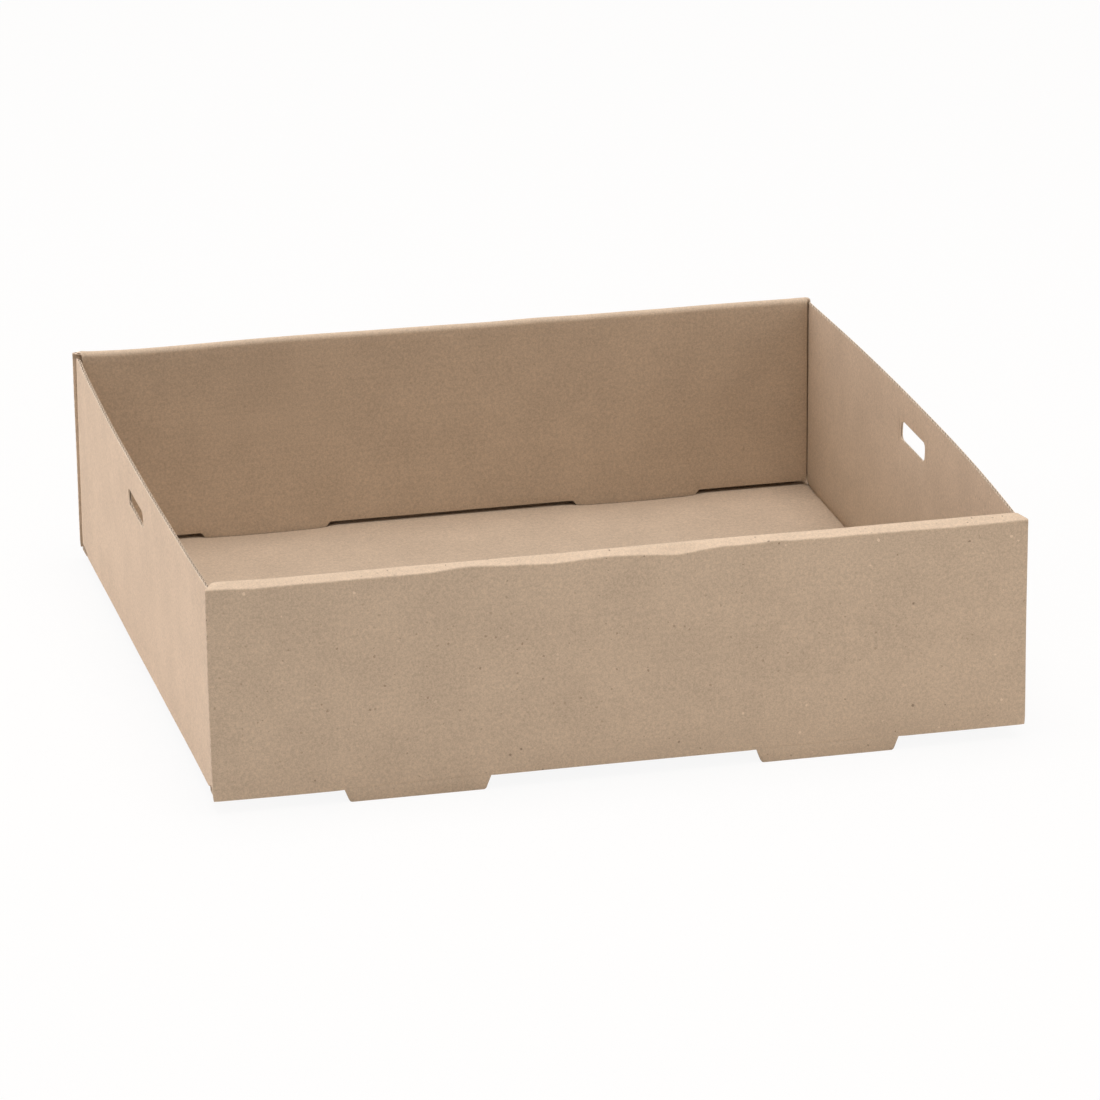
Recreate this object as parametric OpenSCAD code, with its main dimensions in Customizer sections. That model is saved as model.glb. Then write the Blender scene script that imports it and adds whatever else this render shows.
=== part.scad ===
// Catering tray folded from one die-cut blank of corrugated board.
// The end walls roll over on themselves and lock into the base; the side walls are a single board.
// The tray stands on foot tabs. +X runs across the tray, +Y towards its back, +Z up, sizes in mm.

/* [Tray] */
// Width of the end walls, across the tray
end_w = 300; // [240:1:420]
// Depth of the tray over the outer faces of its end walls
tray_d = 285; // [200:1:420]
// Height of the end walls above the underside of the base
end_h = 80; // [50:1:140]

/* [Board] */
// Thickness of the corrugated board
board_t = 1.6; // [1.2:0.1:2]
// Inside radius of the creases round the base and at the corners
crease_r = 0.4; // [0.2:0.1:1]

/* [End walls] */
// Play on each face of a corner flap between the two panels of an end wall
flap_play = 0.8; // [0.5:0.05:1.5]
// Inside radius of the two creases of the top band
band_r = 0.4; // [0.2:0.05:0.8]
// Slope of the top band, up from its outer crease to its inner crease, in degrees
band_tilt = 14; // [0:1:25]
// Reach of the outer panel's side edges past the side walls
panel_lip = 1.2; // [0.6:0.1:4]
// Play between the inner panel's side edges and the side walls
inner_play = 0.6; // [0.3:0.1:2]
// Gap between the inner panel's lower edge and the base
inner_gap = 1.5; // [0.8:0.1:3]

/* [Feet and locks] */
// Distance from the middle of an end wall to the near end of a foot tab
foot_in = 49.3; // [30:0.1:55]
// Length of a foot tab at its root
foot_len = 53.2; // [30:0.1:60]
// Slant of each end of a foot tab over its drop
foot_taper = 1.9; // [0.5:0.1:2.5]
// Corner radius of the foot tabs and of the slots that they leave in the base
foot_r = 0.8; // [0.4:0.1:1.2]
// Play of a locking tab in its slot, at its ends and in front of it
lock_play = 0.4; // [0.3:0.1:1.5]

/* [Side walls] */
// Outward bow of a side wall at the middle of its raw edge
bow = 3.5; // [0:0.1:8]
// Fullness of the bow along the wall, where 2 is a parabola
bow_power = 2.4; // [1.6:0.1:4]
// Play between the side walls' raw edges and the top bands above their ends
edge_play = 0.3; // [0.2:0.1:3]
// Length of a hand hole
hole_l = 30; // [20:0.5:90]
// Height of a hand hole
hole_h = 7.2; // [6:0.1:20]
// Corner radius of a hand hole
hole_r = 2.4; // [0.5:0.1:2.9]
// Distance from a side wall's raw edge down to the middle of its hand hole
hole_drop = 13.8; // [11:0.1:24]

/* [Corners] */
// Length of a corner flap inside the end wall
flap_len = 70; // [20:1:100]
// Slant of the upper and lower edges of a corner flap over its length
flap_taper = 6; // [1:0.5:10]
// Corner radius at the end of a corner flap
flap_r = 8; // [2:0.5:12]
// Play between a corner flap's lower edge and the base
flap_lift = 1.5; // [0.8:0.1:4]
// Length of the relief notch at each end of a side wall's base crease
relief_l = 11; // [5:0.5:20]
// Height of the relief notch at the corner
relief_h = 2.6; // [1:0.1:4]

/* [Hidden] */
$fn = 48;
kraft = [0.73, 0.62, 0.51];
// Overshoot of a cut past the faces it goes through
past = 1;
// Flat strips that make up the curve of a bowed side wall
bow_steps = 24;

// Section of an end wall, with depths measured inwards from its outer face
panel_gap = board_t + 2 * flap_play;
wall_t = 2 * board_t + panel_gap;

// A foot tab is as long as the slot that it leaves in the base for the inner panel's locking tab
foot_drop = wall_t - board_t + lock_play;
base_z = foot_drop;
floor_z = base_z + board_t;

// Outside radius of a crease, and the height at which the walls stand upright on it
crease_out = board_t + crease_r;
stand_z = base_z + crease_out;

// Top band between its two creases, and the inner panel's lower edge
band_out = board_t + band_r;
band_l = (panel_gap - 2 * band_r) / cos(band_tilt);
top_z = base_z + end_h;
inner_bend_z = top_z - band_out;
outer_bend_z = inner_bend_z - band_l * sin(band_tilt);
inner_low_z = floor_z + inner_gap;

// Slant of a locking tab, which lets it into the slot where the slot has narrowed
lock_depth = inner_gap + board_t;
lock_taper = foot_taper * (wall_t - board_t) / foot_drop * lock_depth / inner_gap;

// Underside of the top band where the corner flap's outer face lies below it
flap_depth = board_t + flap_play;
band_under_z = outer_bend_z + band_r / cos(band_tilt)
    + (flap_depth - band_out) * tan(band_tilt);

// Side walls stand between the end walls, a lip in from the ends of the outer panels
side_x = end_w / 2 - panel_lip;
side_y = tray_d / 2 - flap_depth - crease_out;
side_top = band_under_z - edge_play;
inner_x = side_x - board_t - inner_play;

// Strip of board seen from its edge, folded clockwise: each step is [length, angle, inside radius]
module folded_strip(steps, i = 0) {
    length = steps[i][0];
    angle = steps[i][1];
    radius = steps[i][2];
    if (length > 0)
        square([length, board_t]);
    if (angle > 0)
        translate([length, -radius]) {
            rotate(90 - angle)
                bend(radius, angle);
            if (i + 1 < len(steps))
                rotate(-angle)
                    translate([0, radius])
                        folded_strip(steps, i + 1);
        }
}

// Section of one crease, from the X axis round to the given angle
module bend(radius, angle) {
    reach = 2 * (radius + board_t);
    intersection() {
        difference() {
            circle(radius + board_t);
            circle(radius);
        }
        polygon([
            [0, 0],
            [reach, 0],
            [reach * cos(angle / 2), reach * sin(angle / 2)],
            [reach * cos(angle), reach * sin(angle)]
        ]);
    }
}

// Tab with its root on the X axis, reaching down, with slanted ends and two rounded corners
module tab_outline(root, depth, taper, radius) {
    slant = sqrt(depth * depth + taper * taper);
    corner_x = root / 2 + (taper * (radius - depth) - radius * slant) / depth;
    edge_x = corner_x + radius * depth / slant;
    edge_y = radius - depth - radius * taper / slant;
    polygon([
        [-root / 2, 0],
        [-edge_x, edge_y],
        [-corner_x, -depth],
        [corner_x, -depth],
        [edge_x, edge_y],
        [root / 2, 0]
    ]);
    for (side = [-1, 1])
        translate([side * corner_x, radius - depth])
            circle(radius);
}

// Rectangle with rounded corners, centred
module rounded_rectangle(length, height, radius) {
    square([length - 2 * radius, height], center = true);
    square([length, height - 2 * radius], center = true);
    for (x = [-1, 1], y = [-1, 1])
        translate([x * (length / 2 - radius), y * (height / 2 - radius)])
            circle(radius);
}

// Repeats a front or right feature at the opposite side of the tray
module both_ends() {
    for (turn = [0, 1])
        mirror([0, turn, 0])
            children();
}
module both_sides() {
    for (turn = [0, 1])
        mirror([turn, 0, 0])
            children();
}

// Stands an outline drawn in X and Z upright, with its thickness running back from the given depth
module upright(depth, thickness) {
    translate([0, depth - tray_d / 2 + thickness, 0])
        rotate([90, 0, 0])
            linear_extrude(thickness)
                children();
}

// Strip of the front wall from the base's crease up, over the top band and down to the given height
module end_strip(low_z) {
    outer_l = outer_bend_z - stand_z;
    inner_l = inner_bend_z - low_z;
    translate([-end_w / 2, 0, 0])
        rotate([90, 0, 90])
            linear_extrude(end_w)
                translate([crease_out - tray_d / 2, floor_z])
                    rotate(180)
                        folded_strip([
                            [0, 90, crease_r],
                            [outer_l, 90 - band_tilt, band_r],
                            [band_l, 90 + band_tilt, band_r],
                            [inner_l, 0, 0]
                        ]);
}

// Outer panel, top band and inner panel of the front wall, on the crease of the base
module end_wall() {
    difference() {
        end_strip(inner_low_z);
        both_sides()
            end_wall_trim();
    }
}

// What is cut from each end of the wall, so that the inner panel fits between the side walls
module end_wall_trim() {
    front_y = -tray_d / 2;
    back_y = front_y + wall_t + past;
    far_x = end_w / 2 + past;
    translate([inner_x, front_y + board_t, floor_z])
        cube([far_x - inner_x, wall_t - board_t + past, outer_bend_z - floor_z]);
    translate([0, 0, outer_bend_z])
        linear_extrude(band_out + band_l + past)
            polygon([
                [end_w / 2, front_y],
                [inner_x, front_y + wall_t],
                [inner_x, back_y],
                [far_x, back_y],
                [far_x, front_y]
            ]);
}

// Places a tab at both foot positions of the front wall
module at_feet() {
    both_sides()
        translate([foot_in + foot_len / 2, 0, 0])
            children();
}

// Foot tabs in the plane of the outer panel, reaching below the base
module feet() {
    upright(0, board_t)
        at_feet()
            translate([0, base_z]) {
                tab_outline(foot_len, foot_drop, foot_taper, foot_r);
                translate([-foot_len / 2, 0])
                    square([foot_len, crease_out]);
            }
}

// Slots that the foot tabs leave in the base when they swing down with the outer panel
module foot_slots() {
    at_feet()
        translate([0, board_t - tray_d / 2, base_z - past]) {
            linear_extrude(past + board_t + inner_gap / 2)
                mirror([0, 1])
                    tab_outline(foot_len, foot_drop, foot_taper, foot_r);
            translate([-foot_len / 2, -board_t - past, 0])
                cube([foot_len, crease_out + past, crease_out + past]);
        }
}

// Locking tabs on the inner panel's lower edge, which drop through the slots beside the foot tabs
module locks() {
    root = foot_len - 2 * lock_play;
    intersection() {
        end_strip(inner_low_z - lock_depth - past);
        upright(wall_t - board_t - past, board_t + 2 * past)
            at_feet()
                translate([0, inner_low_z]) {
                    tab_outline(root, lock_depth, lock_taper, foot_r);
                    translate([-root / 2, 0])
                        square([root, crease_out]);
                }
    }
}

// Base panel between its four creases
module base() {
    long = side_x - crease_out;
    deep = tray_d / 2 - crease_out;
    translate([-long, -deep, base_z])
        cube([2 * long, 2 * deep, board_t]);
}

// Crease between the base and the right side wall
module side_crease() {
    translate([side_x - crease_out, side_y, stand_z])
        rotate([90, 0, 0])
            linear_extrude(2 * side_y)
                rotate(-90)
                    bend(crease_r, 90);
}

// Slanted notch that eases the right front corner, where four panels meet
module relief_notch() {
    translate([side_x - crease_out, 0, 0])
        rotate([90, 0, 90])
            linear_extrude(crease_out + past)
                polygon([
                    [relief_l - tray_d / 2, base_z],
                    [crease_out - tray_d / 2, base_z + relief_h],
                    [crease_out - tray_d / 2, base_z - past],
                    [relief_l - tray_d / 2, base_z - past]
                ]);
}

// Right side wall: straight along its crease, bowed outwards along its raw edge
function bow_at(y) = bow * (1 - pow(abs(y) / side_y, bow_power));
function wall_row(x, z, lean) = [
    for (i = [0 : bow_steps])
        let (y = side_y * (2 * i / bow_steps - 1))
            [x + lean * bow_at(y), y, z]
];
module side_wall() {
    row = bow_steps + 1;
    corners = concat(
        wall_row(side_x, stand_z, 0),
        wall_row(side_x, side_top, 1),
        wall_row(side_x - board_t, stand_z, 0),
        wall_row(side_x - board_t, side_top, 1)
    );
    outer_faces = [
        for (i = [0 : bow_steps - 1])
            each [[i, i + row, i + 1], [i + 1, i + row, i + row + 1]]
    ];
    inner_faces = [
        for (face = outer_faces)
            [face[0] + 2 * row, face[2] + 2 * row, face[1] + 2 * row]
    ];
    low_edge = [
        for (i = [0 : bow_steps - 1])
            [i, i + 1, i + 1 + 2 * row, i + 2 * row]
    ];
    raw_edge = [
        for (face = low_edge)
            [face[0] + row, face[3] + row, face[2] + row, face[1] + row]
    ];
    ends = [
        [0, 2 * row, 3 * row, row],
        [bow_steps, bow_steps + row, bow_steps + 3 * row, bow_steps + 2 * row]
    ];
    difference() {
        polyhedron(corners, concat(outer_faces, inner_faces, low_edge, raw_edge, ends));
        hand_hole();
    }
}

// Hand hole through the right side wall
module hand_hole() {
    translate([side_x - board_t - past, 0, side_top - hole_drop])
        rotate([90, 0, 90])
            linear_extrude(board_t + bow + 2 * past)
                rounded_rectangle(hole_l, hole_h, hole_r);
}

// Upright crease at the right front corner and the flap tucked into the double front wall
module corner_flap() {
    low_z = max(floor_z + flap_lift, base_z + relief_h);
    height = side_top - low_z;
    translate([side_x - crease_out, -side_y, low_z])
        linear_extrude(height)
            rotate(-90)
                bend(crease_r, 90);
    upright(flap_depth, board_t)
        translate([side_x - crease_out, low_z + height / 2])
            rotate(-90)
                tab_outline(height, flap_len, flap_taper, flap_r);
}

// The whole tray, one sheet from end to end
module tray() {
    color(kraft)
        union() {
            difference() {
                union() {
                    base();
                    both_ends()
                        end_wall();
                    both_sides() {
                        side_crease();
                        side_wall();
                    }
                }
                both_ends() {
                    foot_slots();
                    both_sides()
                        relief_notch();
                }
            }
            both_ends() {
                feet();
                locks();
                both_sides()
                    corner_flap();
            }
        }
}

tray();
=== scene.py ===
import math

import bmesh
import bpy
from mathutils import Matrix, Vector, noise


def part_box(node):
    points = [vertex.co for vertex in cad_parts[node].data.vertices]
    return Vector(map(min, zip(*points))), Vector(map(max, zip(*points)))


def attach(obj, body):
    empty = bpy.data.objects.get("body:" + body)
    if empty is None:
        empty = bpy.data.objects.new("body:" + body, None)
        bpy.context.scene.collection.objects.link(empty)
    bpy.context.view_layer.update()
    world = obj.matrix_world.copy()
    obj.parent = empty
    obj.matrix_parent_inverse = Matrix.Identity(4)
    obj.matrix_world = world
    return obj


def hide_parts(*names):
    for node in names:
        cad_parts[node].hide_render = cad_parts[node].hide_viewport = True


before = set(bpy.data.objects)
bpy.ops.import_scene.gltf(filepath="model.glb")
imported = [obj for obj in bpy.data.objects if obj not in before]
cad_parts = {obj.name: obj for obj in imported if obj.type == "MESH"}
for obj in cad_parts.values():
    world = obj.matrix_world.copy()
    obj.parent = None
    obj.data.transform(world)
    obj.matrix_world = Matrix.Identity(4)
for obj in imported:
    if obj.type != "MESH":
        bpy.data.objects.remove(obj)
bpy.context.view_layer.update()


# Base of the tray. The whole tray is one die-cut blank of single-wall corrugated kraft board, and this
# panel is its middle: flat, with the flutes running across the tray and two slots cut along each end.
# It sags a little along the slots, where no crease holds it.
mm = 0.001
tray_low, tray_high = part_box("tray")
tray_d = tray_high.y - tray_low.y
board_t = 1.6 * mm
fold_r = 0.7 * mm
fold_t = 0.62 * mm
fold_reach = 2.5 * mm
crush_reach = 3 * mm
crease_scuff = 0.15
base_z = 5.0 * mm
side_x = 149.1 * mm
side_gap = 2.8 * mm
side_y = tray_d / 2 - side_gap - fold_r
base_x = side_x - fold_r
base_y = tray_d / 2 - fold_r
end_x = 150 * mm
taper_x = 140 * mm
foot_mid = 75.9 * mm
foot_half = 26.6 * mm
lock_half = 26.2 * mm
slot_root = tray_d / 2 - board_t
slot_reach = 5.2 * mm
slot_taper = 1.9 * mm
slot_beside = 6 * mm
slot_ease = 8 * mm
slot_sag = 0.55 * mm
sag_reach = 9 * mm
sag_beside = 4 * mm
cut_r = 0.8 * mm
relief_inset = 16 * mm
relief_y = tray_d / 2 - relief_inset
relief_run = 5 * mm
sill = 0.75 * mm
hole_half_l = 15.4 * mm
hole_r = 2.4 * mm
slack_l = 75 * mm
slack_depth = 0.28 * mm
slack_full_z = 20 * mm
slack_seed = 44
# Places where the creases round the base hang lower or higher: x, y, reach and lift, in mm
base_lifts = [(-118, -142, 42, -0.5), (-148, 110, 60, -0.3), (-148, -88, 45, 0.6), (120, -142, 60, -0.15)]
crease_step = 3 * mm
board_step = 9 * mm
hair = 0.1 * mm


def lines_between(stops, step):
    """Grid lines through all the stops, no further apart than the step."""
    lines = [stops[0]]
    for low, high in zip(stops, stops[1:]):
        count = max(1, math.ceil((high - low) / step - 1e-6))
        lines += [low + (high - low) * k / count for k in range(1, count + 1)]
    return lines


def both_ways(stops):
    """Stops on one side of the middle, repeated on the other side."""
    return [-stop for stop in reversed(stops)] + [0.0] + stops


def tab_draw(depth, reach, taper, radius):
    """How far the end of a tab or slot has drawn in at a depth from its root."""
    depth = min(max(depth, 0.0), reach)
    draw = taper * depth / reach
    over = depth - (reach - radius)
    if over > 0:
        draw += radius - math.sqrt(max(radius * radius - over * over, 0.0))
    return draw


def slot_warp(x, depth):
    """Draws the grid lines at the ends of the slots along the slanted cuts."""
    offset = abs(x) - foot_mid
    near = max(0.0, 1 - abs(abs(offset) - foot_half) / slot_beside)
    fade = max(0.0, 1 - max(0.0, depth - slot_reach) / slot_ease)
    draw = tab_draw(depth, slot_reach, slot_taper, cut_r) * near * fade
    return math.copysign(foot_mid + offset - math.copysign(draw, offset), x)


def in_foot(x):
    return abs(abs(x) - foot_mid) < foot_half


def in_relief(y):
    """0 before the notch at a corner, 1 in its full height."""
    return min(max((abs(y) - relief_y) / relief_run, 0.0), 1.0)


noise.seed_set(slack_seed)


def slack(point):
    """Slow unevenness of board that has been folded by hand; none where the feet meet the floor."""
    place = Vector(point)
    drift = noise.noise_vector(place / slack_l) * slack_depth
    drift.z *= min(1.0, place.z / slack_full_z)
    for x, y, reach, lift in base_lifts:
        away = math.hypot(place.x / mm - x, place.y / mm - y, place.z / mm) / reach
        drift.z += lift * mm * math.exp(-away * away) * min(1.0, place.z / base_z)
    return drift


def near_fold(distance):
    return max(0.0, 1 - distance / crush_reach)


def thickness(near):
    """Thickness of the board, which is crushed in a crease."""
    return board_t - (board_t - fold_t) * near * near


def new_sheet():
    return {"outer": [], "inner": [], "across": [], "wear_and_highlight": [], "cells": [], "index": {}}


def lay(sheet, columns, rows, place, keep):
    """Adds a panel to a sheet, cell by cell, and joins it to the panels that share its edges."""
    known = {}

    def point(i, j):
        if (i, j) in known:
            return known[i, j]
        outer, inner, across, wear_and_highlight = place(columns[i], rows[j])
        key = tuple(round(value, 6) for value in (*outer, *inner))
        if key not in sheet["index"]:
            drift = slack(outer)
            sheet["index"][key] = len(sheet["outer"])
            sheet["outer"].append(Vector(outer) + drift)
            sheet["inner"].append(Vector(inner) + drift)
            sheet["across"].append(across)
            sheet["wear_and_highlight"].append(wear_and_highlight)
        known[i, j] = sheet["index"][key]
        return known[i, j]

    for i in range(len(columns) - 1):
        for j in range(len(rows) - 1):
            if keep((columns[i] + columns[i + 1]) / 2, (rows[j] + rows[j + 1]) / 2):
                sheet["cells"].append((point(i, j), point(i + 1, j), point(i + 1, j + 1), point(i, j + 1)))


def base_point(x, y):
    depth = slot_root - abs(y)
    to_end, to_side = base_y - abs(y), base_x - abs(x)
    under = in_relief(y) * min(1.0, to_end / (base_y - side_y))
    at_x = slot_warp(x, depth) + math.copysign(sill * under * max(0.0, 1 - to_side / crush_reach), x)
    free = max(0.0, 1 - ((abs(x) - foot_mid) / (foot_half + sag_beside)) ** 2)
    sag = slot_sag * free * math.exp(-((max(0.0, depth - slot_reach) / sag_reach) ** 2))
    sag *= min(1.0, to_end / slot_reach)
    to_fold = min(to_end, to_side)
    thick = thickness(near_fold(to_fold))
    wear_and_highlight = crease_scuff * max(0.0, 1 - to_fold / fold_reach)
    return (at_x, y, base_z - sag), (at_x, y, base_z - sag + thick), y, wear_and_highlight


def base_keep(x, y):
    return not (in_foot(x) and abs(y) > slot_root - slot_reach)


hole_corner = [hole_half_l - hole_r * (1 - math.sin(math.radians(a))) for a in (0, 22.5, 45, 67.5, 90)]
slot_end = slot_root - slot_reach
board_x = lines_between(
    both_ways([foot_mid - foot_half, foot_mid - lock_half, foot_mid + lock_half, foot_mid + foot_half,
               taper_x, base_x, end_x]), crease_step)
board_y = lines_between(
    both_ways([*hole_corner, relief_y, slot_end, slot_end + cut_r, side_y, base_y]), board_step)
liners = new_sheet()
lay(liners, [x for x in board_x if abs(x) < base_x + hair], board_y, base_point, base_keep)


# Front and back end walls. Each is an outer panel creased up from the base, a narrow band rolled over at
# the top and an inner panel turned down inside. The front band's outer crease is pressed down unevenly,
# and the ends of each band taper to let the inner panel between the side walls.
stand_z = base_z + fold_r
wall_t = 6.4 * mm
roll_r = 0.7 * mm
roll_inside = 0.05 * mm
roll_bend = math.radians(75)
roll_z = 82.8 * mm
turn_r = 2.0 * mm
turn_inside = turn_r - board_t
turn_bend = math.radians(105)
turn_depth = wall_t - turn_r
turn_z = tray_high.z - turn_r
inner_low_z = 8.3 * mm
inner_x = 147.1 * mm
fold_l = (fold_r - fold_t / 2) * math.pi / 2
outer_l = roll_z - stand_z
roll_l = roll_r / 2 * roll_bend
band_l = math.hypot(turn_depth - roll_r, turn_z - roll_z)
turn_l = (turn_r - board_t / 2) * turn_bend
inner_l = turn_z - inner_low_z
# Stretches of the board in turn, from the base up the outside, over the top and down the inside
on_fold, on_outer, on_roll, on_band, on_turn, on_inner = range(6)
end_stops = [0.0]
for length in (fold_l, outer_l, roll_l, band_l, turn_l, inner_l):
    end_stops.append(end_stops[-1] + length)
# How deep the outer panels are pressed in, how much more on the left, and how much less towards both ends
hollow = 1.05 * mm
hollow_lean = 0.45
hollow_fade = 0.6
# Place along the wall, lift and half width, in mm, of each dip and rise of the top bands' creases
front_dips = [(-148, 0.8, 8), (-56, 1.05, 10), (-24, -0.5, 8), (-6, 0.3, 5), (19, -1.3, 11), (36, 0.25, 5),
              (56, 0.4, 6), (122, -0.25, 10)]
front_lifts = [(-148, 0.55, 14)]
back_lifts = [(-150, 1.2, 18), (-150.5, 0.45, 3), (-88, 0.85, 55), (-20, 0.4, 45), (35, 0.35, 15)]
back_dips = [(151, -0.7, 2.5)]
front_level = 0.55 * mm
turn_level = 0.2 * mm
back_level = 0.1 * mm
crease_rag = 0.2 * mm
crease_rag_l = 5 * mm
crease_seed = 3.7
turn_rag = 0.15 * mm
turn_rag_l = 30 * mm
turn_seed = 8.3
foot_ease = 2 * mm
# How far each outer panel's side edge reaches past its line, at the base and more at the top, in mm
end_spread = {(-1, -1): (0.25, 0.65), (-1, 1): (0.7, -0.1), (1, -1): (-0.35, 0.4), (1, 1): (0.0, 0.0)}
corner_draw = 0.7 * mm
corner_h = 9 * mm
bend_steps = 6
band_step = 0.8 * mm


def rises(places, x):
    return mm * sum(lift * math.exp(-(((x / mm - at) / half) ** 2)) for at, lift, half in places)


def crease_drift(side, x):
    """How far the outer crease of a top band lies above its straight line."""
    rag = noise.noise(Vector((x / crease_rag_l, side * crease_seed, 0.0))) * crease_rag
    if side < 0:
        return rag + (front_level + rises(front_dips, x))
    return rag + (back_level + rises(back_lifts + back_dips, x))


def turn_drift(side, x):
    """How far the inner crease of a top band lies above its straight line."""
    rag = noise.noise(Vector((x / turn_rag_l, side * turn_seed, 1.0))) * turn_rag
    return rag + (rises(back_lifts, x) if side > 0 else turn_level + rises(front_lifts, x))


def crease_share(x):
    """1 where the outer panel is creased from the base, 0 along a foot tab."""
    return min(max(1 + (abs(abs(x) - foot_mid) - foot_half) / foot_ease, 0.0), 1.0)


def end_profile(side, x, s):
    """Depth and height of both faces of the board, at a length s along it from the base's crease."""
    roll = roll_z + crease_drift(side, x)
    turn = turn_z + turn_drift(side, x)
    run, rise = turn_depth - roll_r, turn - roll
    band_up = math.atan2(rise, run) + math.pi / 2 + math.asin((turn_r - roll_r) / math.hypot(run, rise))
    zone = on_fold
    while zone < on_inner and s > end_stops[zone + 1]:
        zone += 1
    share = min(max((s - end_stops[zone]) / (end_stops[zone + 1] - end_stops[zone]), 0.0), 1.0)
    radius, inside = turn_r, turn_inside
    if zone == on_fold:
        centre, angle = (fold_r, stand_z), math.radians(270 - 90 * share)
        radius, inside = fold_r, fold_r - fold_t
    elif zone == on_outer:
        height = stand_z + (roll - stand_z) * share
        pressed = hollow * math.sin(math.pi * share) ** 2
        pressed *= 1 - hollow_lean * x / end_x
        pressed *= 1 - hollow_fade * (x / end_x) ** 4
        thick = thickness(near_fold(s - end_stops[on_outer]) * crease_share(x))
        thick -= (board_t - roll_r + roll_inside) * near_fold(end_stops[on_roll] - s) ** 2
        return (pressed, height), (pressed + thick, height)
    elif zone == on_roll:
        centre, angle = (roll_r, roll), math.pi + (band_up - math.pi) * share
        radius, inside = roll_r, roll_inside
    elif zone == on_band:
        centre, angle = (roll_r + run * share, roll + rise * share), band_up
        radius = roll_r + (turn_r - roll_r) * share
        inside = roll_inside + (turn_inside - roll_inside) * share
    elif zone == on_turn:
        centre, angle = (turn_depth, turn), band_up * (1 - share)
    else:
        centre, angle = (turn_depth, turn + (inner_low_z - turn) * share), 0.0
    reach = (math.cos(angle), math.sin(angle))
    outer = [centre[k] + radius * reach[k] for k in (0, 1)]
    inner = [centre[k] + inside * reach[k] for k in (0, 1)]
    return outer, inner


def end_point(side):
    def place(x, s):
        outer, inner = end_profile(side, x, s)
        middle = (outer[0] + inner[0]) / 2
        past_roll = s > end_stops[on_roll]
        drawn_in = max(0.0, middle - board_t / 2) / (wall_t - board_t) if past_roll else 0.0
        spread, more = end_spread[side, math.copysign(1, x)]
        spread = (spread + more * outer[1] / roll_z) * mm - corner_draw * max(0.0, 1 - outer[1] / corner_h)
        widest = end_x + spread - (end_x - inner_x + spread) * drawn_in
        at_x = slot_warp(x, slot_root - base_y - s)
        if abs(x) > taper_x:
            share = (abs(x) - taper_x) / (end_x - taper_x)
            at_x = math.copysign(taper_x + (widest - taper_x) * share, x)
        wear_and_highlight = crease_scuff * max(0.0, 1 - s / fold_reach)
        # The whole top band, from the roll over to the inner crease, is painted paler: a painted highlight
        # where light falls on its upper face
        into_roll = max((s - end_stops[on_roll]) / roll_l, 0.0)
        before_inner = max((end_stops[on_inner] - s) / turn_l, 0.0)
        wear_and_highlight += min(into_roll, before_inner, 1.0)
        faces = [(at_x, side * (tray_d / 2 - face[0]), face[1]) for face in (outer, inner)]
        return faces[0], faces[1], side * (base_y + s), wear_and_highlight
    return place


def end_keep(x, s):
    return not (in_foot(x) and s < end_stops[on_outer])


end_rows = [end_stops[0]]
for zone, (low, high) in enumerate(zip(end_stops, end_stops[1:])):
    if zone in (on_fold, on_roll, on_turn):
        end_rows += [low + (high - low) * k / bend_steps for k in range(1, bend_steps + 1)]
    elif zone == on_band:
        end_rows += lines_between([low, high], band_step)[1:]
    else:
        stops = [low, low + fold_reach, high - 2 * fold_reach, high - fold_reach, high]
        end_rows += lines_between(stops, board_step)[1:]
for side in (-1, 1):
    lay(liners, board_x, end_rows, end_point(side), end_keep)


# Foot tabs and locking tabs. A foot is cut out of the base and stays in the plane of the outer panel when
# it is folded up, and the inner panel's locking tab drops through the slot that the foot leaves. Both are
# tapered, with slightly rounded corners from the cutting die.
lock_reach = inner_low_z - base_z
lock_taper = 2.8 * mm
tab_step = 1.5 * mm


def foot_point(side):
    def place(x, z):
        draw = tab_draw(base_z - z, base_z, slot_taper, cut_r)
        at_x = math.copysign(foot_mid + (abs(x) - foot_mid) * (foot_half - draw) / foot_half, x)
        across = side * (base_y + end_stops[on_outer] + z - stand_z)
        thick = thickness(near_fold(stand_z - z) * crease_share(x))
        return (at_x, side * tray_d / 2, z), (at_x, side * (tray_d / 2 - thick), z), across, 0.0
    return place


def lock_point(side):
    def place(x, z):
        draw = tab_draw(inner_low_z - z, lock_reach, lock_taper, cut_r)
        at_x = math.copysign(foot_mid + (abs(x) - foot_mid) * (lock_half - draw) / lock_half, x)
        across = side * (base_y + end_stops[-1] + inner_low_z - z)
        face = tray_d / 2 - wall_t
        return (at_x, side * face, z), (at_x, side * (face + board_t), z), across, 0.0
    return place


def tab_keep(x, z):
    return in_foot(x)


corner_rows = [cut_r * (1 - math.cos(math.radians(a))) for a in (0, 30, 60, 90)]
foot_rows = lines_between([*corner_rows, base_z, stand_z], tab_step)
lock_rows = lines_between([*[base_z + row for row in corner_rows], inner_low_z], tab_step)
foot_x = [x for x in board_x if abs(abs(x) - foot_mid) < foot_half + hair]
lock_x = [x for x in board_x if abs(abs(x) - foot_mid) < lock_half + hair]
for side in (-1, 1):
    lay(liners, foot_x, foot_rows, foot_point(side), tab_keep)
    lay(liners, lock_x, lock_rows, lock_point(side), tab_keep)


# Side walls and corner flaps. A side wall is a single board with a raw upper edge and a hand hole, bowed
# outwards, and a flap at each end is tucked into the end wall. The back left flap has pushed up. A slanted
# notch frees the crease at each corner, and the back right one has sagged nearly shut.
side_top = 82.8 * mm
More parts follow.
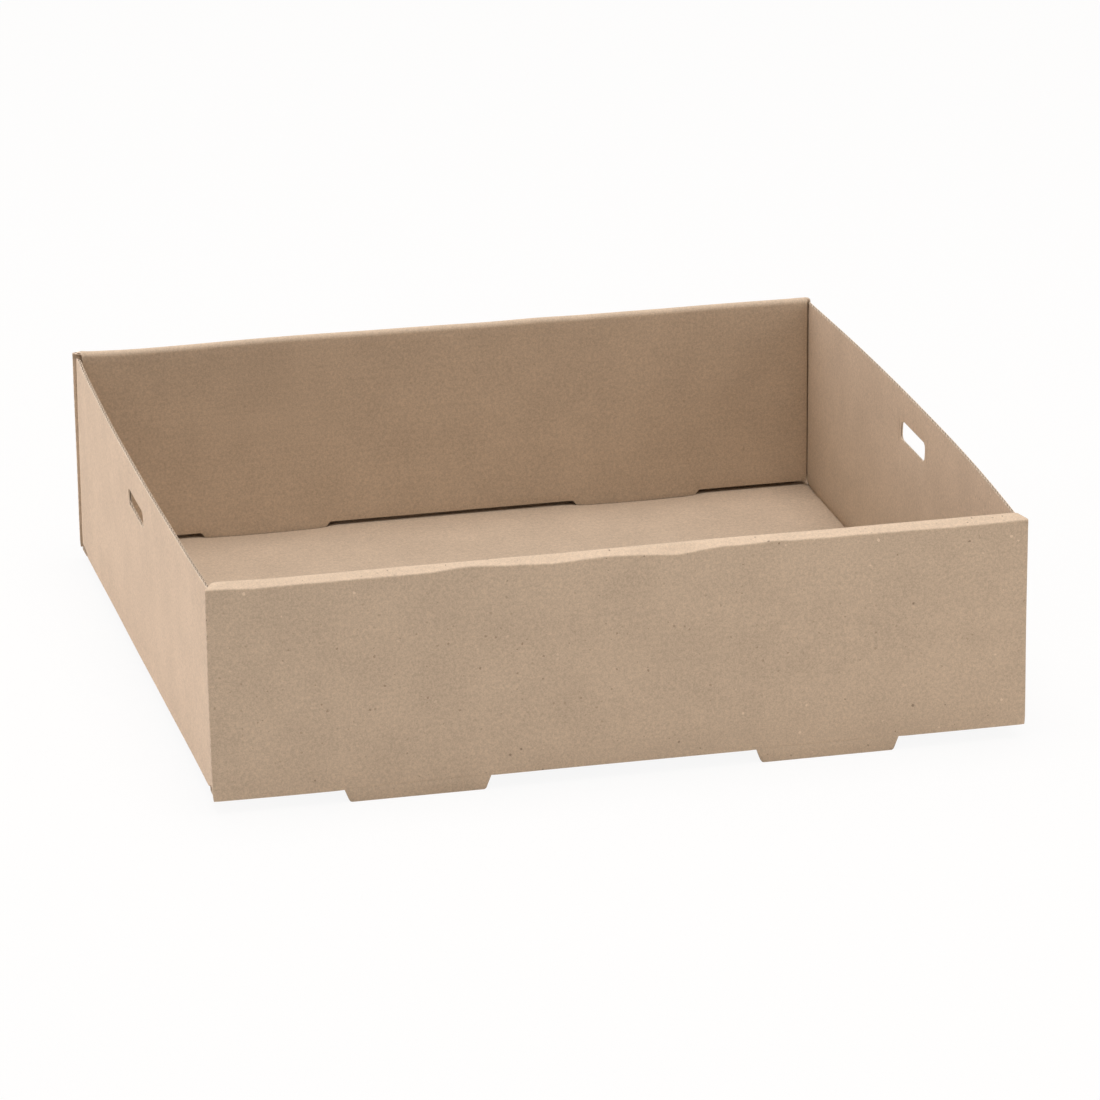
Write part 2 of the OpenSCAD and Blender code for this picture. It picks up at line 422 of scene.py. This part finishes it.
# How much paler the corner folds are: partly scuffed fibres, partly a painted highlight on the rounded fold
corner_wear_and_highlight = 0.5
relief_h = 2.4 * mm
relief_shut = 1.1 * mm
relief_ease = 6 * mm
flap_l = 70 * mm
flap_taper = 6 * mm
flap_low = 8.3 * mm
flap_step = 12 * mm
push_up = 1.0 * mm
push_reach = 14 * mm
hole_drop = 15.4 * mm
hole_z = side_top - hole_drop
hole_half_h = 3.8 * mm
hole_ease = 8 * mm
hole_back = 2.5 * mm
# Share of the hole's height that is open, and how far its edges are crushed, in each wall
hole_open = {1: 1.0, -1: 0.87}
hole_crush = {1: 0.75, -1: 0.0}
# Outward bow at the middle of the raw edge, fullness and lean towards the front of each wall
bows = {1: (3.35 * mm, 2.35, -0.06), -1: (1.85 * mm, 2.0, 0.0)}
above_fold = 1 * mm


def bow_at(hand, y):
    bow, power, lean = bows[hand]
    share = y / side_y
    return bow * max(0.0, 1 - abs(share - lean * (1 - share * share)) ** power)


def hole_warp(hand, y, z):
    """Draws the grid lines round the hand hole along its rounded outline."""
    flat = hole_half_h - hole_r
    over = min(max(abs(y) - (hole_half_l - hole_r), 0.0), hole_r)
    narrow = hole_open[hand] * (flat + math.sqrt(hole_r * hole_r - over * over)) / hole_half_h
    narrow += (1 - narrow) * min(1.0, max(0.0, abs(y) - hole_half_l) / hole_ease)
    rise = z - hole_z
    if abs(rise) <= hole_half_h:
        return hole_z + rise * narrow
    fade = max(0.0, 1 - (abs(rise) - hole_half_h) / hole_ease)
    return z - math.copysign(hole_half_h * (1 - narrow) * fade, rise)


def side_point(hand):
    def place(p, q):
        end = math.copysign(1.0, p)
        past = abs(p) - side_y
        turned = min(max(past / fold_l, 0.0), 1.0) * math.pi / 2
        flap = max(0.0, past - fold_l)
        notch_h = relief_shut if hand > 0 and p > 0 else relief_h
        notch = (notch_h - fold_r + fold_l) * in_relief(p)
        q += notch * max(0.0, 1 - q / relief_ease)
        to_corner = max(-past, past - fold_l, 0.0)
        to_fold = min(to_corner, max(0.0, q - fold_l))
        to_hole = max(abs(p) - hole_half_l, abs(stand_z + q - fold_l - hole_z) - hole_half_h, 0.0)
        near = max(near_fold(to_fold), hole_crush[hand] * near_fold(to_hole))
        # Paler along the base crease from scuffing, and paler still along the corner folds, partly scuffing
        # and partly painted highlight
        wear_and_highlight = max(crease_scuff * (1 - q / fold_reach), corner_wear_and_highlight * (1 - to_corner / fold_reach), 0.0)
        radii = (fold_r, fold_r - thickness(near))
        if q < fold_l:
            bend = math.pi / 2 * q / fold_l
            faces = [(base_x + r * math.sin(bend), p, stand_z - r * math.cos(bend)) for r in radii]
        else:
            z = stand_z + q - fold_l
            if abs(p) < side_y:
                z = hole_warp(hand, p, z)
            middle = (side_top + flap_low) / 2
            z -= (z - middle) * 2 * flap_taper / (side_top - flap_low) * flap / flap_l
            height = (z - stand_z) / (side_top - stand_z)
            lean = bow_at(hand, p) * height if past < 0 else 0.0
            drawn = hole_back * height * max(0.0, 1 - (p / side_y) ** 2)
            if hand < 0 < p:
                z += push_up * math.exp(-((past / push_reach) ** 2)) * height ** 4
            faces = []
            for r in radii:
                x = base_x + r * math.cos(turned) - flap + lean
                y = end * (min(abs(p), side_y) + r * math.sin(turned)) + drawn
                faces.append((x, y, z))
        outer, inner = [(hand * x, y, z) for x, y, z in faces]
        return outer, inner, p, wear_and_highlight
    return place


def in_hole(p, q):
    return abs(p) < hole_half_l and abs(stand_z + q - fold_l - hole_z) < hole_half_h


def side_keep(p, q):
    if in_hole(p, q):
        return False
    return abs(p) < side_y or q > fold_l + flap_low - stand_z


hole_low_q = fold_l + hole_z - hole_half_h - stand_z
hole_high_q = hole_low_q + 2 * hole_half_h
raw_q = fold_l + side_top - stand_z
corner_p = [side_y + fold_l * k / bend_steps for k in range(1, bend_steps + 1)]
flap_p = lines_between([corner_p[-1], corner_p[-1] + flap_l], flap_step)[1:]
side_p = [-p for p in reversed(corner_p + flap_p)]
side_p += [y for y in board_y if abs(y) < side_y + hair] + corner_p + flap_p
side_q = [fold_l * k / bend_steps for k in range(bend_steps)]
side_q += lines_between([fold_l, fold_l + above_fold, fold_l + flap_low - stand_z, fold_l + 2 * crush_reach,
                         hole_low_q - hole_ease, hole_low_q, hole_high_q, hole_high_q + hole_ease, raw_q],
                        board_step)
for hand in (-1, 1):
    lay(liners, side_p, side_q, side_point(hand), side_keep)


# Kraft liners. Both faces of the board are recycled kraft paper: matt, warm brown, cloudy, with dark and
# light specks, and lightly ribbed over the flutes. The paper is scuffed paler along the folds, and the top
# bands are painted paler still, a painted highlight of the light falling from above. Its torn fibres show
# pale where the die has cut it; the outer liner's cut edge carries a painted highlight as well, and the
# inner liner's cut edge is painted darker, as painted shade.
pitch = 3.3 * mm
liner_t = 0.3 * mm
cut_pinch = 0.74
sharp_bend = math.radians(40)


def board_mesh(name, sheet, layers):
    """Closed layers of a sheet, each between two depths, given for a point's place across the flutes."""
    count = len(sheet["outer"])
    uses = {}
    for cell in sheet["cells"]:
        for a, b in zip(cell, cell[1:] + cell[:1]):
            uses[frozenset((a, b))] = uses.get(frozenset((a, b)), 0) + 1
    at_cut = {k for pair, count_of in uses.items() if count_of == 1 for k in pair}
    corners, faces, cut = [], [], []
    for layer, (low, high) in enumerate(layers):
        first = len(corners)
        for depth in (low, high):
            for k in range(count):
                share = depth(sheet["across"][k]) / board_t
                if k in at_cut:
                    share = 0.5 + (share - 0.5) * cut_pinch
                corners.append(sheet["outer"][k].lerp(sheet["inner"][k], share))
        for cell in sheet["cells"]:
            faces.append([first + k for k in cell])
            faces.append([first + count + k for k in reversed(cell)])
            cut += [0, 0]
            for a, b in zip(cell, cell[1:] + cell[:1]):
                if uses[frozenset((a, b))] == 1:
                    faces.append([first + b, first + a, first + count + a, first + count + b])
                    cut.append(1 + layer)
    mesh = bpy.data.meshes.new(name)
    mesh.from_pydata(corners, [], faces)
    repeats = 2 * len(layers)
    for field in ("across", "wear_and_highlight"):
        values = mesh.attributes.new(field, "FLOAT", "POINT")
        values.data.foreach_set("value", sheet[field] * repeats)
    mesh.polygons.foreach_set("material_index", cut)
    mesh.polygons.foreach_set("use_smooth", [True] * len(faces))
    shape = bmesh.new()
    shape.from_mesh(mesh)
    bmesh.ops.recalc_face_normals(shape, faces=shape.faces)
    shape.to_mesh(mesh)
    shape.free()
    mesh.set_sharp_from_angle(angle=sharp_bend)
    piece = bpy.data.objects.new(name, mesh)
    bpy.context.scene.collection.objects.link(piece)
    return piece


def add_node(tree, kind, **settings):
    node = tree.nodes.new(kind)
    for name, value in settings.items():
        setattr(node, name, value)
    return node


def feed(tree, socket, value):
    """Links a socket to the one that feeds it, or sets it to a plain value."""
    if isinstance(value, bpy.types.NodeSocket):
        tree.links.new(value, socket)
    else:
        socket.default_value = value


def value_node(tree, operation, *inputs):
    node = add_node(tree, "ShaderNodeMath", operation=operation)
    for socket, value in zip(node.inputs, inputs):
        feed(tree, socket, value)
    return node.outputs[0]


def ramp_node(tree, value, span, result=(0.0, 1.0)):
    """A smooth step of a value, from one end of its span to the other."""
    node = add_node(tree, "ShaderNodeMapRange", interpolation_type="SMOOTHSTEP")
    for name, given in zip(("Value", "From Min", "From Max", "To Min", "To Max"), (value, *span, *result)):
        feed(tree, node.inputs[name], given)
    return node.outputs["Result"]


def noise_node(tree, vector, scale, detail=2.0, roughness=0.5):
    node = add_node(tree, "ShaderNodeTexNoise")
    for name, given in zip(("Vector", "Scale", "Detail", "Roughness"), (vector, scale, detail, roughness)):
        feed(tree, node.inputs[name], given)
    return node


def mix_colours(tree, share, one, other):
    node = add_node(tree, "ShaderNodeMix", data_type="RGBA")
    sockets = [socket for socket in node.inputs if socket.enabled]
    for socket, value in zip(sockets, (share, one, other)):
        feed(tree, socket, value)
    return [socket for socket in node.outputs if socket.enabled][0]


# Shared by every paper of the board: clouds, fibre mottling, specks and the tooth of the surface. The
# scales are in features to the metre.
cloud_grain = {"scale": 45, "detail": 3, "roughness": 0.6}
coarse_fibre = {"scale": 800, "detail": 4, "roughness": 0.7}
fine_fibre = {"scale": 1900, "detail": 2, "roughness": 0.6}
tooth_grain = {"scale": 2600, "detail": 3, "roughness": 0.7}
speck_rag_scale = 1500
speck_rag = 0.9 * mm
speck_rarity = 4.0
speck_edge = (-0.03, 0.03)
# The specks gather at the front of the sheet and thin out towards its back
gather_y = (-130 * mm, -40 * mm)
gather_share = (1.0, 0.25)
# Cells to the metre, largest share of a cell, strength and colour of each kind of speck
specks = {
    "Dark Speck": (240, 0.13, 0.65, (0.15, 0.11, 0.08, 1)),
    "Fine Speck": (520, 0.27, 0.66, (0.22, 0.15, 0.10, 1)),
    "Light Speck": (380, 0.24, 0.8, (0.80, 0.66, 0.52, 1)),
}
paper = bpy.data.node_groups.new("recycled_paper", "ShaderNodeTree")
for name in ("Cloud", "Mottle", *specks, "Tooth"):
    paper.interface.new_socket(name, in_out="OUTPUT", socket_type="NodeSocketFloat")
paper_out = add_node(paper, "NodeGroupOutput")
where = add_node(paper, "ShaderNodeTexCoord").outputs["Object"]
paper.links.new(noise_node(paper, where, **cloud_grain).outputs["Fac"], paper_out.inputs["Cloud"])
mottle = value_node(paper, "ADD", noise_node(paper, where, **coarse_fibre).outputs["Fac"],
                    noise_node(paper, where, **fine_fibre).outputs["Fac"])
paper.links.new(value_node(paper, "MULTIPLY", mottle, 0.5), paper_out.inputs["Mottle"])
paper.links.new(noise_node(paper, where, **tooth_grain).outputs["Fac"], paper_out.inputs["Tooth"])
uneven = add_node(paper, "ShaderNodeVectorMath", operation="MULTIPLY_ADD")
uneven.inputs[1].default_value = (speck_rag, speck_rag, speck_rag)
paper.links.new(noise_node(paper, where, speck_rag_scale).outputs["Color"], uneven.inputs[0])
paper.links.new(where, uneven.inputs[2])
along = add_node(paper, "ShaderNodeSeparateXYZ")
paper.links.new(where, along.inputs["Vector"])
gathered = ramp_node(paper, along.outputs["Y"], gather_y, gather_share)
for name, (scale, largest, *_) in specks.items():
    cells = add_node(paper, "ShaderNodeTexVoronoi")
    paper.links.new(uneven.outputs[0], cells.inputs["Vector"])
    cells.inputs["Scale"].default_value = scale
    chance = add_node(paper, "ShaderNodeSeparateColor")
    paper.links.new(cells.outputs["Color"], chance.inputs["Color"])
    rare = value_node(paper, "POWER", chance.outputs["Red"], speck_rarity)
    size = value_node(paper, "MULTIPLY", rare, largest)
    inside = value_node(paper, "SUBTRACT", size, cells.outputs["Distance"])
    shown = ramp_node(paper, inside, speck_edge)
    depth = value_node(paper, "MULTIPLY", chance.outputs["Green"], gathered)
    paper.links.new(value_node(paper, "MULTIPLY", shown, depth), paper_out.inputs[name])

# Shared by the liners and their cut edges: ribs over the flutes, paler scuffed fibres along the folds, and
# the painted highlight that makes the top bands paler
ribs = bpy.data.node_groups.new("flute_ribs", "ShaderNodeTree")
for name in ("Rib", "Wear And Highlight"):
    ribs.interface.new_socket(name, in_out="OUTPUT", socket_type="NodeSocketFloat")
ribs_out = add_node(ribs, "NodeGroupOutput")
across = add_node(ribs, "ShaderNodeAttribute", attribute_name="across").outputs["Fac"]
turns = value_node(ribs, "MULTIPLY", across, 2 * math.pi / pitch)
ribs.links.new(value_node(ribs, "SINE", turns), ribs_out.inputs["Rib"])
worn_and_lit = add_node(ribs, "ShaderNodeAttribute", attribute_name="wear_and_highlight").outputs["Fac"]
ribs.links.new(worn_and_lit, ribs_out.inputs["Wear And Highlight"])

cloud_span = (0.3, 0.7)
cloud_tone = (-0.04, 0.04)
mottle_span = (0.32, 0.68)
rib_tone = 0.006
# How much paler the scuffed folds and the painted highlight on the top bands make the paper
wear_and_highlight_tone = 0.3
rough_span = (0.2, 0.8)
paper_rough = (0.78, 0.94)
paper_specular = 0.25


def group_node(tree, group):
    node = add_node(tree, "ShaderNodeGroup")
    node.node_tree = group
    return node


def paper_material(name, colour, mottle_depth, tooth_height, rib_height=0.0):
    """Matt paper: its colour clouded and specked, its surface ribbed and toothed."""
    material = bpy.data.materials.new(name)
    material.use_nodes = True
    tree = material.node_tree
    shader = tree.nodes["Principled BSDF"]
    fibre = group_node(tree, paper)
    rib = group_node(tree, ribs)
    cloud = ramp_node(tree, fibre.outputs["Cloud"], cloud_span, cloud_tone)
    mottled = ramp_node(tree, fibre.outputs["Mottle"], mottle_span, (-mottle_depth, mottle_depth))
    ribbed = value_node(tree, "MULTIPLY", rib.outputs["Rib"], rib_tone)
    wear_and_highlight_shift = value_node(tree, "MULTIPLY", rib.outputs["Wear And Highlight"], wear_and_highlight_tone)
    clouded = value_node(tree, "ADD", cloud, mottled)
    worn_and_lit = value_node(tree, "ADD", ribbed, wear_and_highlight_shift)
    tone = value_node(tree, "ADD", value_node(tree, "ADD", clouded, worn_and_lit), 1.0)
    toned = add_node(tree, "ShaderNodeVectorMath", operation="SCALE")
    toned.inputs[0].default_value = colour
    tree.links.new(tone, toned.inputs["Scale"])
    specked = toned.outputs[0]
    for speck, (*_, strength, speck_colour) in specks.items():
        share = value_node(tree, "MULTIPLY", fibre.outputs[speck], strength)
        specked = mix_colours(tree, share, specked, speck_colour)
    tree.links.new(specked, shader.inputs["Base Color"])
    rough = ramp_node(tree, fibre.outputs["Mottle"], rough_span, paper_rough)
    tree.links.new(rough, shader.inputs["Roughness"])
    shader.inputs["Specular IOR Level"].default_value = paper_specular
    ridges = value_node(tree, "MULTIPLY", rib.outputs["Rib"], rib_height)
    grain = value_node(tree, "MULTIPLY", fibre.outputs["Tooth"], tooth_height)
    bump = add_node(tree, "ShaderNodeBump")
    bump.inputs["Distance"].default_value = 1.0
    tree.links.new(value_node(tree, "ADD", ridges, grain), bump.inputs["Height"])
    tree.links.new(bump.outputs["Normal"], shader.inputs["Normal"])
    return material


board = board_mesh("tray_board", liners, [
    (lambda across: 0.0, lambda across: liner_t),
    (lambda across: board_t - liner_t, lambda across: board_t),
])
for finish in (
    paper_material("kraft_liner", (0.575, 0.465, 0.352), mottle_depth=0.15, tooth_height=0.03 * mm,
                   rib_height=0.008 * mm),
    # The outer liner's cut edge is pale torn fibre with a painted highlight added; the inner liner's cut
    # edge is painted darker, as painted shade
    paper_material("cut_outer_kraft_painted_highlight", (0.88, 0.77, 0.64), mottle_depth=0.10, tooth_height=0.06 * mm),
    paper_material("cut_inner_kraft_painted_shade", (0.62, 0.51, 0.395), mottle_depth=0.10, tooth_height=0.06 * mm),
):
    board.data.materials.append(finish)
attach(board, "root")
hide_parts("tray")


# Fluting. A waved paper is glued between the two liners, and shows wherever the die has cut the board: on
# the side walls' raw edges, round the hand holes, at the ends of the end walls and along tabs and slots.
# Only the strips next to a cut are made, because the rest is never seen.
wave_t = 0.42 * mm
wave_steps = 8
wave_step = pitch / wave_steps
cut_back = 0.06 * mm
strip = 7 * mm
tab_strip_step = 6 * mm
edge_strip_step = 12 * mm
fluting = new_sheet()


def wave_lines(low, high):
    return lines_between([low, high], wave_step)


def tab_strip(half):
    """Grid lines along a tab or slot, to just short of both its ends."""
    return lines_between([foot_mid - half + cut_back, foot_mid + half - cut_back], tab_strip_step)


def side_strip(p, q):
    if in_hole(p, q):
        return False
    return q > raw_q - strip or (abs(p) < hole_half_l + strip and q > hole_low_q - strip)


def whole_strip(column, row):
    return True


strip_q = [hole_low_q - strip, hole_low_q - cut_back, hole_low_q, hole_high_q, hole_high_q + cut_back,
           raw_q - strip, raw_q - cut_back]
strip_stops = [hole_half_l - hole_r, hole_half_l, hole_half_l + strip, side_y]
strip_p = lines_between(both_ways(strip_stops), wave_step)
for hand in (-1, 1):
    lay(fluting, strip_p, strip_q, side_point(hand), side_strip)
end_strip_x = [end_x - strip, end_x - cut_back]
end_strip_s = wave_lines(end_stops[0], end_stops[-1] - cut_back)
foot_strip_x = tab_strip(foot_half)
foot_strip_z = wave_lines(cut_back, stand_z)
lock_strip_x = tab_strip(lock_half)
lock_strip_z = wave_lines(base_z + cut_back, inner_low_z)
slot_strip_y = wave_lines(slot_end - strip, slot_end - cut_back)
edge_strip_x = lines_between(both_ways([end_x - strip]), edge_strip_step)
edge_strip_s = wave_lines(end_stops[-1] - strip, end_stops[-1] - cut_back)
for side in (-1, 1):
    for hand in (-1, 1):
        feet = [hand * x for x in foot_strip_x]
        locks = [hand * x for x in lock_strip_x]
        lay(fluting, [hand * x for x in end_strip_x], end_strip_s, end_point(side), whole_strip)
        lay(fluting, feet, foot_strip_z, foot_point(side), whole_strip)
        lay(fluting, locks, lock_strip_z, lock_point(side), whole_strip)
        lay(fluting, feet, [side * y for y in slot_strip_y], base_point, whole_strip)
    lay(fluting, edge_strip_x, edge_strip_s, end_point(side), whole_strip)


def wave(across):
    return board_t / 2 + (board_t / 2 - liner_t - wave_t / 2) * math.sin(2 * math.pi * across / pitch)


waved = board_mesh("tray_fluting", fluting, [
    (lambda across: wave(across) - wave_t / 2, lambda across: wave(across) + wave_t / 2),
])
for finish in (
    paper_material("fluting_paper", (0.5, 0.4, 0.3), mottle_depth=0.08, tooth_height=0.04 * mm),
    paper_material("cut_fluting", (0.76, 0.645, 0.515), mottle_depth=0.10, tooth_height=0.05 * mm),
):
    waved.data.materials.append(finish)
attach(waved, "root")


# Studio: a plain pale floor, which keeps the tray's soft shadow, and a white surround that the camera sees
# but that lights the tray only as a dim dome, brightest overhead. A large soft lamp hangs above the tray,
# one stands on the left, and a weak one fills from the front right.
floor_half = 4.0
floor_corners = [(x * floor_half, y * floor_half, 0.0) for x, y in ((-1, -1), (1, -1), (1, 1), (-1, 1))]
floor_mesh = bpy.data.meshes.new("studio_floor")
floor_mesh.from_pydata(floor_corners, [], [(0, 1, 2, 3)])
floor = bpy.data.objects.new("studio_floor", floor_mesh)
bpy.context.scene.collection.objects.link(floor)


def seen_directly(tree):
    """1 for rays that show the background itself, to the camera, in gloss or through glass."""
    path = add_node(tree, "ShaderNodeLightPath")
    seen = value_node(tree, "MAXIMUM", path.outputs["Is Camera Ray"], path.outputs["Is Glossy Ray"])
    return value_node(tree, "MAXIMUM", seen, path.outputs["Is Transmission Ray"])


def blend_shaders(tree, share, one, other, output):
    """Shows a share of the second shader over the first."""
    node = add_node(tree, "ShaderNodeMixShader")
    for socket, value in zip(node.inputs, (share, one.outputs[0], other.outputs[0])):
        tree.links.new(value, socket)
    tree.links.new(node.outputs["Shader"], tree.nodes[output].inputs["Surface"])


floor_colour = (0.9, 0.875, 0.84, 1)
floor_rough = 0.9
floor_white = 0.91
floor_paint = bpy.data.materials.new("studio_floor")
floor_paint.use_nodes = True
tree = floor_paint.node_tree
matt = tree.nodes["Principled BSDF"]
matt.inputs["Base Color"].default_value = floor_colour
matt.inputs["Roughness"].default_value = floor_rough
glow = add_node(tree, "ShaderNodeEmission")
share = value_node(tree, "MULTIPLY", seen_directly(tree), floor_white)
blend_shaders(tree, share, matt, glow, "Material Output")
floor.data.materials.append(floor_paint)

dome_colour = (1.07, 1.0, 0.93, 1)
dome_strength = 0.73
world = bpy.data.worlds.new("studio")
world.use_nodes = True
tree = world.node_tree
dome = tree.nodes["Background"]
dome.inputs["Color"].default_value = dome_colour
height = add_node(tree, "ShaderNodeSeparateXYZ")
tree.links.new(add_node(tree, "ShaderNodeTexCoord").outputs["Generated"], height.inputs["Vector"])
overhead = add_node(tree, "ShaderNodeMapRange")
tree.links.new(height.outputs["Z"], overhead.inputs["Value"])
overhead.inputs["To Max"].default_value = dome_strength
tree.links.new(overhead.outputs["Result"], dome.inputs["Strength"])
white = add_node(tree, "ShaderNodeBackground")
white.inputs["Color"].default_value = (1, 1, 1, 1)
blend_shaders(tree, seen_directly(tree), dome, white, "World Output")
bpy.context.scene.world = world

lamp_aim = Vector((0, 0, 0.04))


def soft_lamp(name, place, size, watts, colour):
    lamp = bpy.data.lights.new(name, "AREA")
    lamp.shape = "DISK"
    lamp.size = size
    lamp.energy = watts
    lamp.color = colour
    stand = bpy.data.objects.new(name, lamp)
    stand.location = place
    stand.rotation_euler = (lamp_aim - Vector(place)).to_track_quat("-Z", "Y").to_euler()
    bpy.context.scene.collection.objects.link(stand)


soft_lamp("top_lamp", place=(0.0, 0.0, 2.2), size=1.6, watts=24, colour=(1.06, 1.0, 1.0))
soft_lamp("left_lamp", place=(-2.0, 0.2, 0.25), size=0.8, watts=18, colour=(1.1, 1.0, 1.01))
soft_lamp("fill_lamp", place=(0.7, -0.9, 0.3), size=0.5, watts=1.6, colour=(1.15, 1.0, 0.9))


# Camera at the photograph's viewing angle: a little left of the front, looking down into the tray through
# a long lens. The frame is taken as 1100 by 1100.
frame_px = 1100
focal_px = 6279.7
look_down = 0.33666
turn_left = 0.23557
tilt = -0.00901
tray_from_lens = Vector((-6.872, 2386.29, -30.795)) * mm
tray_origin = Vector((0, 0, 5.2 * mm))
turned = (Matrix.Rotation(tilt, 3, "Y") @ Matrix.Rotation(look_down, 3, "X")
          @ Matrix.Rotation(turn_left, 3, "Z"))
right, forward, up = [Vector(row) for row in turned]
lens = bpy.data.cameras.new("camera")
lens.sensor_width = 36
lens.lens = lens.sensor_width * focal_px / frame_px
lens.clip_end = 100
camera = bpy.data.objects.new("camera", lens)
stands_at = Matrix.Translation(tray_origin - turned.transposed() @ tray_from_lens)
camera.matrix_world = stands_at @ Matrix((right, up, -forward)).transposed().to_4x4()
bpy.context.scene.collection.objects.link(camera)
bpy.context.scene.camera = camera
bpy.context.scene.view_settings.view_transform = "Standard"
